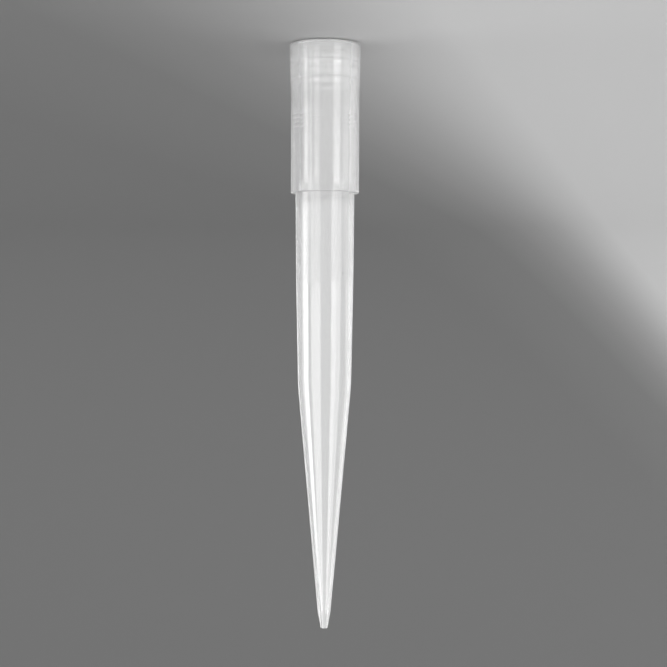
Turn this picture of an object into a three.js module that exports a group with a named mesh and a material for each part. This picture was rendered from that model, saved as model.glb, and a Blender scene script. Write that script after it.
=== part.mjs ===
// A one-piece pipette tip for the 1000 microlitre range, moulded in natural polypropylene.
// Millimetres, +Z up. The tip stands on the rim of its mouth with the point straight up.
// The origin is the middle of the mouth, on the surface that the rim rests on.

import * as THREE from 'three';

// Lengths of the stretches along the axis, from the mouth to the point.
const lipLength = 1.45; // flared lip of the mouth
const socketDepth = 8.8; // mouth to the stop inside the collar, where the outside stops flaring
const collarLength = 19.8; // mouth to the rack shoulder
const upperBarrelLength = 10.9; // shoulder to where the barrel starts to narrow
const lowerBarrelLength = 14.9; // narrowing stretch of the barrel, to the knee
const coneLength = 30.25; // knee to the bevel
const bevelLength = 2.15; // bevelled end of the point

// Outside radii.
const mouthRadius = 4.8;
const lipRadius = 4.7; // where the lip meets the flare
const collarRadius = 4.555;
const barrelTopRadius = 3.925; // just past the shoulder
const barrelMiddleRadius = 3.84; // where the barrel starts to narrow
const kneeRadius = 3.545;
const bevelRadius = 0.85; // where the bevel starts
const pointRadius = 0.45; // end of the point

// Wall thickness at the same places, which sets the bore.
const rimWall = 1; // at the mouth's face
const socketMouthWall = 1.12; // past the lead-in
const socketEndWall = 1.16; // just before the stop
const collarWall = 1.2; // just past the stop
const shoulderWall = 1.28; // collar wall at the shoulder
const barrelMiddleWall = 0.58;
const kneeWall = 0.48;
const bevelWall = 0.4;
const pointWall = 0.18;

// Details of the socket that grips the pipette's nozzle.
const leadInDepth = 0.4;
const ringCount = 2;
const firstRingHeight = 2.4;
const ringSpacing = 2.4;
const ringWidth = 1.25;
const ringSlope = 0.4; // length of each sloped side of a ring
const ringCrest = 0.045; // how far a sealing ring stands into the socket
const ringSwell = 0.02; // how far the outside swells over a ring
const stopSlope = 0.2; // length of the sloped stop at the end of the socket
const ridgeCount = 4;
const ridgePitch = 0.6;
const ridgeWidth = 0.3;
const ridgeSlope = 0.1;
const ridgeCrest = 0.02;
const firstRidgeGap = 0.35; // stop to the first fine ridge

// How far each rounded corner reaches along the walls that meet there.
const rimRound = 0.12;
const lipBlend = 0.6;
const flareBlend = 1.2;
const shoulderRound = 0.15;
const shoulderFillet = 0.05;
const barrelBlend = 1.5;
const kneeBlend = 1.4;
const bevelBlend = 0.35;
const pointRound = 0.07;

// Fineness of the mesh.
const facets = 48; // around the axis
const roundSteps = 3; // along each rounded corner

// Heights of the stations above the mouth.
const barrelMiddle = collarLength + upperBarrelLength;
const knee = barrelMiddle + lowerBarrelLength;
const bevelStart = knee + coneLength;
const tipLength = bevelStart + bevelLength;

const polypropylene = new THREE.MeshStandardMaterial({
  color: 0xe9ebea,
  roughness: 0.28,
  metalness: 0,
  transparent: true,
  opacity: 0.55,
});

function corner(radius, height, round = 0) {
  return { at: new THREE.Vector2(radius, height), round };
}

function interpolate(height, lowHeight, lowRadius, highHeight, highRadius) {
  const share = (height - lowHeight) / (highHeight - lowHeight);
  return THREE.MathUtils.lerp(lowRadius, highRadius, share);
}

function flareRadius(height) {
  return interpolate(height, lipLength, lipRadius, socketDepth, collarRadius);
}

function socketRadius(height) {
  const mouthEnd = flareRadius(leadInDepth) - socketMouthWall;
  return interpolate(height, leadInDepth, mouthEnd, socketDepth, collarRadius - socketEndWall);
}

function collarBoreRadius(height) {
  return interpolate(
    height, socketDepth, collarRadius - collarWall, collarLength, collarRadius - shoulderWall,
  );
}

// A band with sloped sides that stands out from a wall by its crest.
function band(radiusAt, middle, width, slope, crest, round) {
  const start = middle - width / 2;
  const end = middle + width / 2;
  return [
    corner(radiusAt(start), start, round),
    corner(radiusAt(start + slope) + crest, start + slope, round),
    corner(radiusAt(end - slope) + crest, end - slope, round),
    corner(radiusAt(end), end, round),
  ];
}

function ringHeights() {
  return Array.from({ length: ringCount }, (_, index) => firstRingHeight + index * ringSpacing);
}

function ridgeHeights() {
  const first = socketDepth + stopSlope + firstRidgeGap;
  return Array.from({ length: ridgeCount }, (_, index) => first + index * ridgePitch);
}

// The outside, from the rim up to the end of the point.
function outsideCorners() {
  const swells = ringHeights().flatMap((height) => (
    band(flareRadius, height, ringWidth, ringSlope, ringSwell, 0)
  ));
  return [
    corner(mouthRadius, 0, rimRound),
    corner(lipRadius, lipLength, lipBlend),
    ...swells,
    corner(collarRadius, socketDepth, flareBlend),
    corner(collarRadius, collarLength, shoulderRound),
    corner(barrelTopRadius, collarLength, shoulderFillet),
    corner(barrelMiddleRadius, barrelMiddle, barrelBlend),
    corner(kneeRadius, knee, kneeBlend),
    corner(bevelRadius, bevelStart, bevelBlend),
    corner(pointRadius, tipLength, pointRound),
  ];
}

// The bore, listed from the mouth up to the orifice.
function boreCorners() {
  const rings = ringHeights().flatMap((height) => (
    band(socketRadius, height, ringWidth, ringSlope, -ringCrest, ringSlope / 2)
  ));
  const ridges = ridgeHeights().flatMap((height) => (
    band(collarBoreRadius, height, ridgeWidth, ridgeSlope, -ridgeCrest, 0)
  ));
  const stopEnd = socketDepth + stopSlope;
  return [
    corner(mouthRadius - rimWall, 0),
    corner(socketRadius(leadInDepth), leadInDepth, leadInDepth / 4),
    ...rings,
    corner(socketRadius(socketDepth), socketDepth),
    corner(collarBoreRadius(stopEnd), stopEnd),
    ...ridges,
    corner(collarRadius - shoulderWall, collarLength),
    corner(barrelMiddleRadius - barrelMiddleWall, barrelMiddle, barrelBlend),
    corner(kneeRadius - kneeWall, knee, kneeBlend),
    corner(bevelRadius - bevelWall, bevelStart),
    corner(pointRadius - pointWall, tipLength),
  ];
}

// Joins the corners into one closed outline, rounding those that have a round.
function outlineThrough(corners) {
  const outline = new THREE.Path();
  corners.forEach(({ at, round }, index) => {
    const before = corners.at(index - 1).at;
    const after = corners[(index + 1) % corners.length].at;
    const reachBefore = Math.min(round, at.distanceTo(before) / 2);
    const reachAfter = Math.min(round, at.distanceTo(after) / 2);
    const entry = before.clone().sub(at).setLength(reachBefore).add(at);
    const exit = after.clone().sub(at).setLength(reachAfter).add(at);
    if (index === 0) {
      outline.moveTo(entry.x, entry.y);
    } else {
      outline.lineTo(entry.x, entry.y);
    }
    if (round > 0) {
      outline.quadraticCurveTo(at.x, at.y, exit.x, exit.y);
    }
  });
  outline.closePath();
  return outline;
}

function buildTip() {
  const outline = outlineThrough([...outsideCorners(), ...boreCorners().reverse()]);
  const geometry = new THREE.LatheGeometry(outline.getPoints(roundSteps), facets);
  geometry.rotateX(Math.PI / 2); // the lathe turns about Y, and the tip stands along Z
  const tip = new THREE.Mesh(geometry, polypropylene);
  tip.name = 'pipette_tip';
  return tip;
}

const model = new THREE.Group();
model.add(buildTip());

export default model;
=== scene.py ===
from math import copysign, cos, exp, pi, radians, sin, tan

import bpy
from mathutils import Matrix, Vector


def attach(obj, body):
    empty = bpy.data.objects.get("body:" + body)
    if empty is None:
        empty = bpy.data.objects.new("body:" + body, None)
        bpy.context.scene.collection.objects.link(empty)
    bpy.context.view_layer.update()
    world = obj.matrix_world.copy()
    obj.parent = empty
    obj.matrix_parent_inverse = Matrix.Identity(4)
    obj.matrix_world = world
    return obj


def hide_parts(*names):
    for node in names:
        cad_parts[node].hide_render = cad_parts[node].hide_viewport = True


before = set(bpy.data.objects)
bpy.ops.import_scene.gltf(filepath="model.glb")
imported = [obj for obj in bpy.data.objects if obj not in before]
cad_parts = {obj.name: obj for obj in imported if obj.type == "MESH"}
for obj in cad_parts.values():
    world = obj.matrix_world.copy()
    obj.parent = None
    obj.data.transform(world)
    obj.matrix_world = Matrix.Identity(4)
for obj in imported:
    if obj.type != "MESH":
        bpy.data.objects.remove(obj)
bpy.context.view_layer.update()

millimetre = 0.001

# What a user would change on the tip, in millimetres. Heights count from the mouth up to the point.
tip = {
    "lipLength": 1.45,  # flared lip of the mouth
    "socketDepth": 8.8,  # mouth to the stop inside the collar, where the outside stops flaring
    "collarLength": 19.8,  # mouth to the rack shoulder
    "upperBarrelLength": 10.9,
    "lowerBarrelLength": 14.9,
    "coneLength": 30.25,
    "bevelLength": 2.15,
    "mouthRadius": 4.8,
    "lipRadius": 4.7,
    "collarRadius": 4.555,
    "barrelTopRadius": 3.925,  # just past the shoulder
    "barrelMiddleRadius": 3.84,
    "kneeRadius": 3.545,
    "bevelRadius": 0.85,
    "pointRadius": 0.45,
    "rimWall": 1.1,
    "socketMouthWall": 1.12,  # past the lead-in
    "socketEndWall": 1.16,
    "collarWall": 1.2,  # just past the stop
    "shoulderWall": 1.28,
    "barrelMiddleWall": 0.58,
    "kneeWall": 0.48,
    "bevelWall": 0.4,
    "pointWall": 0.18,
    "leadInDepth": 0.15,
    "ringHeights": (2.7, 5.0),  # middles of the two sealing rings
    "ringWidth": 0.9,
    "ringSlope": 0.1,  # a ring's steep side, nearer the mouth
    "ringFade": 0.4,  # its gentle side
    "ringCrest": 0.06,
    "ringSwell": 0.02,  # how far the outside swells over a ring
    "stopSlope": 0.2,
    "ridgeCount": 4,
    "ridgePitch": 0.6,
    "ridgeWidth": 0.3,
    "ridgeSlope": 0.1,
    "ridgeCrest": 0.035,
    "firstRidgeGap": 0.35,  # stop to the middle of the first fine ridge
    "rimRound": 0.12,
    "lipBlend": 0.6,
    "flareBlend": 1.2,
    "shoulderRound": 0.15,
    "shoulderFillet": 0.05,
    "barrelBlend": 1.5,
    "kneeBlend": 1.4,
    "bevelBlend": 0.35,
    "pointRound": 0.07,
    "edgeRound": 0.03,
    "facets": 256,  # round the axis
    "roundSteps": 5,  # along each round
    "spacing": 1.6,  # longest straight stretch of the section
    "sharpAngle": 35,  # in degrees, past which an edge is shaded crisp
}

barrelMiddle = tip["collarLength"] + tip["upperBarrelLength"]
knee = barrelMiddle + tip["lowerBarrelLength"]
bevelStart = knee + tip["coneLength"]
tipEnd = bevelStart + tip["bevelLength"]
stopEnd = tip["socketDepth"] + tip["stopSlope"]


def between(height, lowHeight, lowRadius, highHeight, highRadius):
    share = (height - lowHeight) / (highHeight - lowHeight)
    return lowRadius + share * (highRadius - lowRadius)


def flareRadius(height):
    return between(height, tip["lipLength"], tip["lipRadius"], tip["socketDepth"], tip["collarRadius"])


def socketRadius(height):
    mouthEnd = flareRadius(tip["leadInDepth"]) - tip["socketMouthWall"]
    innerEnd = tip["collarRadius"] - tip["socketEndWall"]
    return between(height, tip["leadInDepth"], mouthEnd, tip["socketDepth"], innerEnd)


def collarBoreRadius(height):
    start = tip["collarRadius"] - tip["collarWall"]
    end = tip["collarRadius"] - tip["shoulderWall"]
    return between(height, tip["socketDepth"], start, tip["collarLength"], end)


# A corner of the wall's section is a radius, a height, and how far its round reaches along both walls.
def band(radiusAt, middle, width, slope, paintedLightFade, crest):  # stands out from a wall by its crest
    low = middle - width / 2
    high = middle + width / 2
    stations = ((low, 0), (low + slope, crest), (high - paintedLightFade, crest), (high, 0))
    return [(radiusAt(height) + stand, height, slope / 2) for height, stand in stations]


def ringCorners(radiusAt, crest):
    corners = []
    for middle in tip["ringHeights"]:
        corners += band(radiusAt, middle, tip["ringWidth"], tip["ringSlope"], tip["ringFade"], crest)
    return corners


def ridgeCorners():
    corners = []
    slope = tip["ridgeSlope"]
    for ridge in range(tip["ridgeCount"]):
        middle = stopEnd + tip["firstRidgeGap"] + ridge * tip["ridgePitch"]
        corners += band(collarBoreRadius, middle, tip["ridgeWidth"], slope, slope, -tip["ridgeCrest"])
    return corners


def outsideCorners():
    return [
        (tip["mouthRadius"], 0, tip["rimRound"]),
        (tip["lipRadius"], tip["lipLength"], tip["lipBlend"]),
        *ringCorners(flareRadius, tip["ringSwell"]),
        (tip["collarRadius"], tip["socketDepth"], tip["flareBlend"]),
        (tip["collarRadius"], tip["collarLength"], tip["shoulderRound"]),
        (tip["barrelTopRadius"], tip["collarLength"], tip["shoulderFillet"]),
        (tip["barrelMiddleRadius"], barrelMiddle, tip["barrelBlend"]),
        (tip["kneeRadius"], knee, tip["kneeBlend"]),
        (tip["bevelRadius"], bevelStart, tip["bevelBlend"]),
        (tip["pointRadius"], tipEnd, tip["pointRound"]),
    ]


def boreCorners():
    edge = tip["edgeRound"]
    return [
        (tip["mouthRadius"] - tip["rimWall"], 0, edge),
        (socketRadius(tip["leadInDepth"]), tip["leadInDepth"], tip["leadInDepth"] / 4),
        *ringCorners(socketRadius, -tip["ringCrest"]),
        (socketRadius(tip["socketDepth"]), tip["socketDepth"], edge),
        (collarBoreRadius(stopEnd), stopEnd, edge),
        *ridgeCorners(),
        (tip["collarRadius"] - tip["shoulderWall"], tip["collarLength"], tip["shoulderFillet"]),
        (tip["barrelMiddleRadius"] - tip["barrelMiddleWall"], barrelMiddle, tip["barrelBlend"]),
        (tip["kneeRadius"] - tip["kneeWall"], knee, tip["kneeBlend"]),
        (tip["bevelRadius"] - tip["bevelWall"], bevelStart, tip["bevelBlend"]),
        (tip["pointRadius"] - tip["pointWall"], tipEnd, edge),
    ]


def filletRadius(before, here, after, reach):
    almostStraight = 1e-4  # a smaller turn, in radians, gets no round
    into = here - before
    out = after - here
    reach = min(reach, into.length / 2, out.length / 2)
    turn = into.angle(out)
    return reach / tan(turn / 2) if turn > almostStraight else 0.0


def makeSection():  # the closed outline of the wall, lying in X and Y round the path's own radius
    corners = outsideCorners() + boreCorners()[::-1]
    places = [Vector((radius, height)) for radius, height, reach in corners]
    count = len(corners)
    outline = [((place.x - tip["collarRadius"]) * millimetre, -place.y * millimetre, 0) for place in places]
    edges = [(index, (index + 1) % count) for index in range(count)]
    mesh = bpy.data.meshes.new("tipSection")
    mesh.from_pydata(outline, edges, [])
    rounds = mesh.attributes.new("round", "FLOAT", "POINT")
    for index, (radius, height, reach) in enumerate(corners):
        after = places[(index + 1) % count]
        rounds.data[index].value = filletRadius(places[index - 1], places[index], after, reach) * millimetre
    section = bpy.data.objects.new("tipSection", mesh)
    bpy.context.collection.objects.link(section)
    print("section drawn:", count, "corners")
    return section


def addNode(tree, kind, inputs, **settings):  # an input takes a plain value or another node's output
    node = tree.nodes.new(kind)
    for name, value in settings.items():
        setattr(node, name, value)
    for socket, value in inputs.items():
        if isinstance(value, bpy.types.NodeSocket):
            tree.links.new(value, node.inputs[socket])
        else:
            node.inputs[socket].default_value = value
    return node


def addMath(tree, operation, *amounts):
    return addNode(tree, "ShaderNodeMath", dict(enumerate(amounts)), operation=operation).outputs[0]


def roundedOutline(tree, given):  # each corner is rounded by the radius kept on its point
    outline = addNode(tree, "GeometryNodeMeshToCurve", {"Mesh": given["Geometry"]})
    radius = addNode(tree, "GeometryNodeInputNamedAttribute", {"Name": "round"}, data_type="FLOAT")
    fillet = addNode(tree, "GeometryNodeFilletCurve", {
        "Curve": outline.outputs["Curve"],
        "Count": given["Round Steps"],
        "Radius": radius.outputs["Attribute"],
        "Limit Radius": True,
    }, mode="POLY")
    return fillet.outputs["Curve"]


def shortStretches(tree, curve, spacing):  # cuts long straight stretches, so that the rounds shade true
    place = addNode(tree, "GeometryNodeInputPosition", {}).outputs["Position"]
    index = addNode(tree, "GeometryNodeInputIndex", {}).outputs["Index"]
    size = addNode(tree, "GeometryNodeAttributeDomainSize", {"Geometry": curve}, component="CURVE")
    following = addMath(tree, "MODULO", addMath(tree, "ADD", index, 1), size.outputs["Point Count"])
    nextPlace = addNode(tree, "GeometryNodeFieldAtIndex", {"Value": place, "Index": following},
                        data_type="FLOAT_VECTOR")
    stretch = addNode(tree, "ShaderNodeVectorMath", {0: place, 1: nextPlace.outputs["Value"]},
                      operation="DISTANCE")
    cuts = addMath(tree, "DIVIDE", stretch.outputs["Value"], spacing)
    return addNode(tree, "GeometryNodeSubdivideCurve", {"Curve": curve, "Cuts": cuts}).outputs["Curve"]


def crispEdges(tree, mesh, sharpAngle):  # shades the whole wall smooth, apart from its steeper edges
    smooth = addNode(tree, "GeometryNodeSetShadeSmooth", {"Geometry": mesh}, domain="FACE")
    angle = addNode(tree, "GeometryNodeInputMeshEdgeAngle", {})
    gentle = addNode(tree, "FunctionNodeCompare", {"A": angle.outputs["Unsigned Angle"], "B": sharpAngle},
                     data_type="FLOAT", operation="LESS_THAN")
    crisp = addNode(tree, "GeometryNodeSetShadeSmooth", {
        "Geometry": smooth.outputs["Geometry"],
        "Shade Smooth": gentle.outputs["Result"],
    }, domain="EDGE")
    return crisp.outputs["Geometry"]


def turnedWallTree():  # turns a closed outline round Z into a smooth solid wall
    tree = bpy.data.node_groups.new("turnedWall", "GeometryNodeTree")
    kinds = {
        "Geometry": "NodeSocketGeometry",
        "Path Radius": "NodeSocketFloat",
        "Facets": "NodeSocketInt",
        "Round Steps": "NodeSocketInt",
        "Spacing": "NodeSocketFloat",
        "Sharp Angle": "NodeSocketFloat",
        "Material": "NodeSocketMaterial",
    }
    for name, kind in kinds.items():
        tree.interface.new_socket(name, in_out="INPUT", socket_type=kind)
    tree.interface.new_socket("Geometry", in_out="OUTPUT", socket_type="NodeSocketGeometry")
    given = addNode(tree, "NodeGroupInput", {}).outputs
    profile = shortStretches(tree, roundedOutline(tree, given), given["Spacing"])
    path = addNode(tree, "GeometryNodeCurvePrimitiveCircle", {
        "Resolution": given["Facets"],
        "Radius": given["Path Radius"],
    })
    turned = addNode(tree, "GeometryNodeCurveToMesh", {
        "Curve": path.outputs["Curve"],
        "Profile Curve": profile,
    })
    outward = addNode(tree, "GeometryNodeFlipFaces", {"Mesh": turned.outputs["Mesh"]})
    crisp = crispEdges(tree, outward.outputs["Mesh"], given["Sharp Angle"])
    realize = addNode(tree, "GeometryNodeRealizeInstances", {"Geometry": crisp})
    finish = addNode(tree, "GeometryNodeSetMaterial", {
        "Geometry": realize.outputs["Geometry"],
        "Material": given["Material"],
    })
    addNode(tree, "NodeGroupOutput", {"Geometry": finish.outputs["Geometry"]})
    return tree


def applyTree(piece, tree, values):
    modifier = piece.modifiers.new(tree.name, "NODES")
    modifier.node_group = tree
    for item in tree.interface.items_tree:
        if item.item_type == "SOCKET" and item.in_out == "INPUT" and item.name in values:
            modifier[item.identifier] = values[item.name]
    graph = bpy.context.evaluated_depsgraph_get()
    mesh = bpy.data.meshes.new_from_object(piece.evaluated_get(graph), depsgraph=graph)
    piece.modifiers.remove(modifier)
    return mesh


# What a user would change in the plastic. Lengths are in millimetres.
polypropylene = {
    "bend": 1.49,  # index of refraction
    "clearness": 0.82,
    "clearTint": (0.975, 0.975, 0.975, 1),
    "hazyTint": (0.96, 0.96, 0.96, 1),
    "speckTint": (0.25, 0.24, 0.22, 1),
    "speckSpacing": 2.6,
    "speckSize": 0.12,
    "flowShare": 0.1,  # how much of the haze follows the flow of the plastic
    "smoothest": 0.03,
    "roughest": 0.15,
    "scuffed": 0.22,
    "scuffDepth": 0.0006,
    "rippleDepth": 0.01,
    "polishHeight": 32,  # mean height of the ragged edge where the polish starts
    "polishDrop": 4.5,  # how far that edge may wander, from its lowest to its highest
    "polishBlend": 0.06,
    "polish": 0.22,
    "polishRoughness": 0.03,
    # clouds of noise: the size of a blot across and along the tip, and how fine its detail is
    "edge": {"width": 0.8, "length": 0.8, "detail": 2},
    "flow": {"width": 3.2, "length": 45, "detail": 3},
    "hairline": {"width": 0.35, "length": 9, "detail": 2},
    "patch": {"width": 5, "length": 9, "detail": 1},
    "ripple": {"width": 3.6, "length": 16, "detail": 1},
    # the part of a cloud's range over which its effect sets in
    "flowOnset": (0.3, 0.7),
    "hairlineOnset": (0.7, 0.78),
    "patchOnset": (0.48, 0.62),
}


def stretched(tree, place, width, length):  # a place counted in widths across and lengths along the tip
    across = 1 / (width * millimetre)
    along = 1 / (length * millimetre)
    mapping = addNode(tree, "ShaderNodeMapping", {"Vector": place, "Scale": (across, across, along)})
    return mapping.outputs["Vector"]


def cloud(tree, place, width, length, detail):  # soft noise from 0 to 1
    where = stretched(tree, place, width, length)
    noise = addNode(tree, "ShaderNodeTexNoise", {"Vector": where, "Scale": 1, "Detail": detail})
    return noise.outputs["Fac"]


def remap(tree, value, low, high, start, end):
    return addNode(tree, "ShaderNodeMapRange", {
        "Value": value,
        "From Min": low,
        "From Max": high,
        "To Min": start,
        "To Max": end,
    }, interpolation_type="SMOOTHSTEP").outputs["Result"]


def blendColours(tree, share, first, second):  # by number, because the node repeats its sockets' names
    return addNode(tree, "ShaderNodeMix", {0: share, 6: first, 7: second}, data_type="RGBA").outputs[2]


def blendValues(tree, share, first, second):
    return addNode(tree, "ShaderNodeMix", {"Factor": share, "A": first, "B": second}).outputs["Result"]


def dullEnd(tree, place):  # the mouth's end, moulded against a duller surface, up to a ragged edge
    look = polypropylene
    height = addNode(tree, "ShaderNodeSeparateXYZ", {"Vector": place}).outputs["Z"]
    wander = cloud(tree, place, **look["edge"])
    edge = addMath(tree, "MULTIPLY_ADD", wander, look["polishDrop"] * millimetre, height)
    start = (look["polishHeight"] + look["polishDrop"] / 2) * millimetre
    return remap(tree, edge, start - look["polishBlend"] * millimetre, start, 1, 0)


def speckledTint(tree, place, haze):  # a few dark specks are locked in the plastic
    look = polypropylene
    tint = blendColours(tree, haze, look["clearTint"], look["hazyTint"])
    where = stretched(tree, place, look["speckSpacing"], look["speckSpacing"])
    speck = addNode(tree, "ShaderNodeTexVoronoi", {"Vector": where, "Scale": 1})
    reach = look["speckSize"] / look["speckSpacing"]
    dark = remap(tree, speck.outputs["Distance"], reach / 2, reach, 1, 0)
    return blendColours(tree, dark, tint, look["speckTint"])


def bagScuffs(tree, place):  # hairline scuffs from the bag, gathered in patches
    look = polypropylene
    hairline = remap(tree, cloud(tree, place, **look["hairline"]), *look["hairlineOnset"], 0, 1)
    patch = remap(tree, cloud(tree, place, **look["patch"]), *look["patchOnset"], 0, 1)
    return addMath(tree, "MULTIPLY", hairline, patch)


def rippledNormal(tree, place, scuff):  # shallow ripples of the cooled wall under the scuffs
    look = polypropylene
    waves = addNode(tree, "ShaderNodeBump", {
        "Height": cloud(tree, place, **look["ripple"]),
        "Distance": look["rippleDepth"] * millimetre,
    })
    marks = addNode(tree, "ShaderNodeBump", {
        "Height": scuff,
        "Distance": look["scuffDepth"] * millimetre,
        "Normal": waves.outputs["Normal"],
    }, invert=True)
    return marks.outputs["Normal"]


def makePolypropylene():
    look = polypropylene
    plastic = bpy.data.materials.new("naturalPolypropylene")
    plastic.use_nodes = True
    tree = plastic.node_tree
    surface = tree.nodes["Principled BSDF"].inputs
    surface["IOR"].default_value = look["bend"]
    surface["Transmission Weight"].default_value = look["clearness"]
    surface["Coat Roughness"].default_value = look["polishRoughness"]
    place = addNode(tree, "ShaderNodeTexCoord", {}).outputs["Object"]
    dull = dullEnd(tree, place)
    flow = remap(tree, cloud(tree, place, **look["flow"]), *look["flowOnset"], 0, 1)
    haze = blendValues(tree, look["flowShare"], dull, flow)
    gloss = remap(tree, haze, 0, 1, look["smoothest"], look["roughest"])
    scuff = bagScuffs(tree, place)
    tree.links.new(speckledTint(tree, place, haze), surface["Base Color"])
    tree.links.new(blendValues(tree, scuff, gloss, look["scuffed"]), surface["Roughness"])
    tree.links.new(remap(tree, dull, 0, 1, look["polish"], 0), surface["Coat Weight"])
    tree.links.new(rippledNormal(tree, place, scuff), surface["Normal"])
    print("polypropylene mixed")
    return plastic


def makeTip():
    section = makeSection()
    mesh = applyTree(section, turnedWallTree(), {
        "Path Radius": tip["collarRadius"] * millimetre,
        "Facets": tip["facets"],
        "Round Steps": tip["roundSteps"],
        "Spacing": tip["spacing"] * millimetre,
        "Sharp Angle": radians(tip["sharpAngle"]),
        "Material": makePolypropylene(),
    })
    bpy.data.objects.remove(section)
    mesh.name = "mouldedTip"
    piece = bpy.data.objects.new("mouldedTip", mesh)
    bpy.context.collection.objects.link(piece)
    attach(piece, "root")
    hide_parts("pipette_tip")
    print("tip turned:", len(mesh.polygons), "faces")
    return piece


mouldedTip = makeTip()

# What a user would change on the paper sweep behind and under the tip. Lengths are in metres.
sweep = {
    "front": -6,
    "depth": 0.35,  # from the tip to where the paper bends up
    "bendRadius": 0.45,
    "bendSteps": 32,
    "height": 2,
    "halfWidth": 6,
    "drop": 0.0002,  # below the mouth's rim
    "roughness": 0.9,
    "shine": 0.1,
    "paintedLightDirection": (-0.975, -0.222, -0.8),
    "paintedLightFade": (  # how far along that direction, and the paper's grey there, painted lighter towards one side in place of a falloff of light
        (-0.07, 0.315), (-0.03, 0.35), (-0.0165, 0.425), (-0.007, 0.52),
        (0, 0.62), (0.011, 0.84), (0.019, 0.98), (0.034, 1),
    ),
}


def makePaper():  # grey paper with painted light: its colour grows lighter towards one side, standing in for light that falls more on that side
    paper = bpy.data.materials.new("sweepPaper")
    paper.use_nodes = True
    tree = paper.node_tree
    surface = tree.nodes["Principled BSDF"].inputs
    surface["Roughness"].default_value = sweep["roughness"]
    surface["Specular IOR Level"].default_value = sweep["shine"]
    place = addNode(tree, "ShaderNodeTexCoord", {}).outputs["Object"]
    # painted light: the paper's grey rises along this direction, as if more light fell on that side
    along = addNode(tree, "ShaderNodeVectorMath", {0: place, 1: sweep["paintedLightDirection"]},
                    operation="DOT_PRODUCT")
    start = sweep["paintedLightFade"][0][0]
    end = sweep["paintedLightFade"][-1][0]
    share = addNode(tree, "ShaderNodeMapRange", {
        "Value": along.outputs["Value"],
        "From Min": start,
        "From Max": end,
    })
    ramp = addNode(tree, "ShaderNodeValToRGB", {"Fac": share.outputs["Result"]})
    stops = ramp.color_ramp.elements
    while len(stops) < len(sweep["paintedLightFade"]):
        stops.new(1)
    for stop, (reach, grey) in zip(stops, sweep["paintedLightFade"]):
        stop.position = (reach - start) / (end - start)
        stop.color = (grey, grey, grey, 1)
    tree.links.new(ramp.outputs["Color"], surface["Base Color"])
    return paper


def makeSweep():
    bend = sweep["bendRadius"]
    profile = [(sweep["front"], 0)]
    for step in range(sweep["bendSteps"] + 1):
        turn = pi / 2 * step / sweep["bendSteps"]
        profile.append((sweep["depth"] + bend * sin(turn), bend * (1 - cos(turn))))
    profile.append((sweep["depth"] + bend, sweep["height"]))
    half = sweep["halfWidth"]
    places = [(side, y, z - sweep["drop"]) for y, z in profile for side in (-half, half)]
    faces = [(step, step + 1, step + 3, step + 2) for step in range(0, 2 * len(profile) - 2, 2)]
    mesh = bpy.data.meshes.new("paperSweep")
    mesh.from_pydata(places, [], faces)
    mesh.shade_smooth()
    mesh.materials.append(makePaper())
    paperSweep = bpy.data.objects.new("paperSweep", mesh)
    bpy.context.collection.objects.link(paperSweep)
    print("paper laid")


# What a user would change on the lights. Lengths are in metres, and a level of 1 lights white to white.
# A card stands between two directions in degrees, + towards +X: a back card from the line of sight on past
# the tip, and a side card from the lens. Each row of cards has a bottom, a top and a share of the level.
light = {
    "world": 0.65,
    "backDistance": 0.03,
    "passingReach": 0.0031,  # farthest off the axis that a ray leaves the tip's back
    "passingEase": 6,  # how soon it comes near that, in degrees
    "backCards": (
        ("farRight", -64, -12, 0.5), ("midRight", -12, -7, 0.4), ("bandRight", -7, -2, 0.5),
        ("centre", -2, 1, 0.38), ("bandLeft", 1, 6, 0.52), ("darkLeft", 6, 7.4, 0.25),
        ("strip", 7.4, 22, 1.3), ("shade", 22, 46, 0.3), ("farLeft", 46, 64, 0.6),
    ),
    "backRows": ((0, 0.004, 0.05), (0.004, 0.0175, 0.4), (0.0175, 0.12, 1)),
    "nearCards": (
        ("softLeft", 18, 36, 3.2), ("brightLeft", 44.5, 52, 2.9), ("highlight", 59.5, 74, 4.4),
        ("softRight", -52, -28, 4.8), ("dimRight", -100, -62, 0.8),
    ),
    "farCards": (
        ("softLeft", 17.5, 58, 2.9), ("highlight", 72, 97, 3),
        ("softRight", -48, -26, 4.05), ("dimRight", -68, -48, 2.4),
    ),
    # a row of side cards gives its distance first
    "nearRows": ((0.012, 0, 0.0031, 0.57), (0.03, 0, 0.0097, 0.68), (0.08, 0.0036, 0.0142, 1.3)),
    "farRows": ((0.25, 0, 0.2, 1.1),),
    # cards that lie just under the rim's level and face up
    "floorRow": {"near": 0.0085, "far": 0.012, "height": -0.0001, "share": 0.55},
    "floorCard": {"halfWidth": 0.06, "front": 0.0085, "back": 0.03, "height": -0.0001, "level": 0.24},
}

tipOnly = bpy.data.collections.new("tipOnly")  # what the cards light
tipOnly.objects.link(mouldedTip)


def passingOffset(way):  # how far off the axis a ray leaves the tip's back, for the way that it is turned
    return copysign(light["passingReach"] * (1 - exp(-abs(way) / light["passingEase"])), way)


def mirrorOffset(way):  # how far off the axis a ray leaves the tip's front, for the way that it is sent
    return -tip["collarRadius"] * millimetre * sin(radians(way) / 2)


def cardSpan(start, end, offsetOf, distance, facing):  # a card's middle and width, across where it faces
    edges = []
    for way in (start, end):
        lean = radians(way) - facing
        edges.append((offsetOf(way) + distance * sin(lean)) / cos(lean))
    return (edges[0] + edges[1]) / 2, edges[1] - edges[0]


def makeCard(name, middle, width, height, turn, level, seenThrough):  # lights the tip alone
    data = bpy.data.lights.new(name, "AREA")
    data.shape = "RECTANGLE"
    data.size = width
    data.size_y = height
    data.energy = level * pi * width * height
    card = bpy.data.objects.new(name, data)
    card.location = middle
    card.rotation_euler = turn
    card.visible_camera = False
    card.visible_transmission = seenThrough
    card.light_linking.receiver_collection = tipOnly
    bpy.context.collection.objects.link(card)


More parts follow.
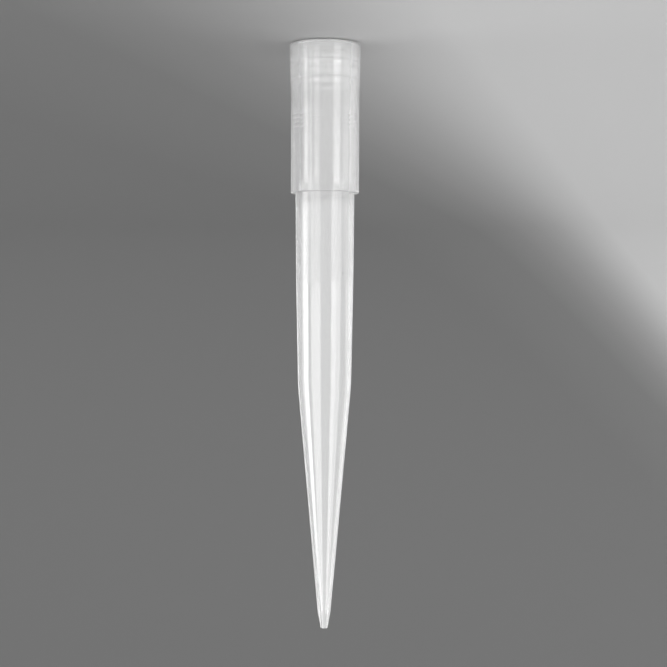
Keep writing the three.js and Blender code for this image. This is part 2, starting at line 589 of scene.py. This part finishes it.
def makeBackCards():
    distance = light["backDistance"]
    for name, start, end, level in light["backCards"]:
        across, width = cardSpan(start, end, passingOffset, distance, 0)
        for bottom, top, share in light["backRows"]:
            middle = (across, distance, (bottom + top) / 2)
            makeCard(name, middle, width, top - bottom, (radians(-90), 0, 0), level * share, True)


def makeSideCard(name, start, end, level, distance, height, depth, tilt):
    way = radians((start + end) / 2)
    across, width = cardSpan(start, end, mirrorOffset, distance, way)
    middle = (distance * sin(way) + across * cos(way), across * sin(way) - distance * cos(way), height)
    makeCard(name, middle, width, depth, (radians(tilt), 0, way), level, False)


def makeSideCards(cards, rows):
    for name, start, end, level in cards:
        for distance, bottom, top, share in rows:
            makeSideCard(name, start, end, level * share, distance, (bottom + top) / 2, top - bottom, 90)


def makeFloorCards():
    row = light["floorRow"]
    distance = (row["near"] + row["far"]) / 2
    depth = row["far"] - row["near"]
    for name, start, end, level in light["nearCards"]:
        makeSideCard(name, start, end, level * row["share"], distance, row["height"], depth, 180)
    card = light["floorCard"]
    middle = (0, (card["front"] + card["back"]) / 2, card["height"])
    depth = card["back"] - card["front"]
    makeCard("floorCard", middle, 2 * card["halfWidth"], depth, (radians(180), 0, 0), card["level"], True)


def makeLights():
    surroundings = bpy.data.worlds.new("softSurroundings")
    surroundings.use_nodes = True
    grey = light["world"]
    surroundings.node_tree.nodes["Background"].inputs["Color"].default_value = (grey, grey, grey, 1)
    bpy.context.scene.world = surroundings
    makeBackCards()
    makeSideCards(light["nearCards"], light["nearRows"])
    makeSideCards(light["farCards"], light["farRows"])
    makeFloorCards()
    print("lights set")


# What a user would change on the lens. Lengths are in metres, angles in degrees.
view = {
    "away": 0.21,
    "height": 0.03857,
    "across": -0.00118,
    "span": 0.08933,  # width of the view at the tip
    "roll": 179.88,  # shows the tip point down
    "nearest": 0.01,
}


def makeCamera():
    camera = bpy.data.objects.new("camera", bpy.data.cameras.new("camera"))
    camera.data.lens = camera.data.sensor_width * view["away"] / view["span"]
    camera.data.clip_start = view["nearest"]
    camera.location = (view["across"], -view["away"], view["height"])
    camera.rotation_euler = (radians(90), radians(view["roll"]), 0)
    bpy.context.collection.objects.link(camera)
    bpy.context.scene.camera = camera
    bpy.context.scene.view_settings.view_transform = "Standard"
    print("camera set")


makeSweep()
makeLights()
makeCamera()
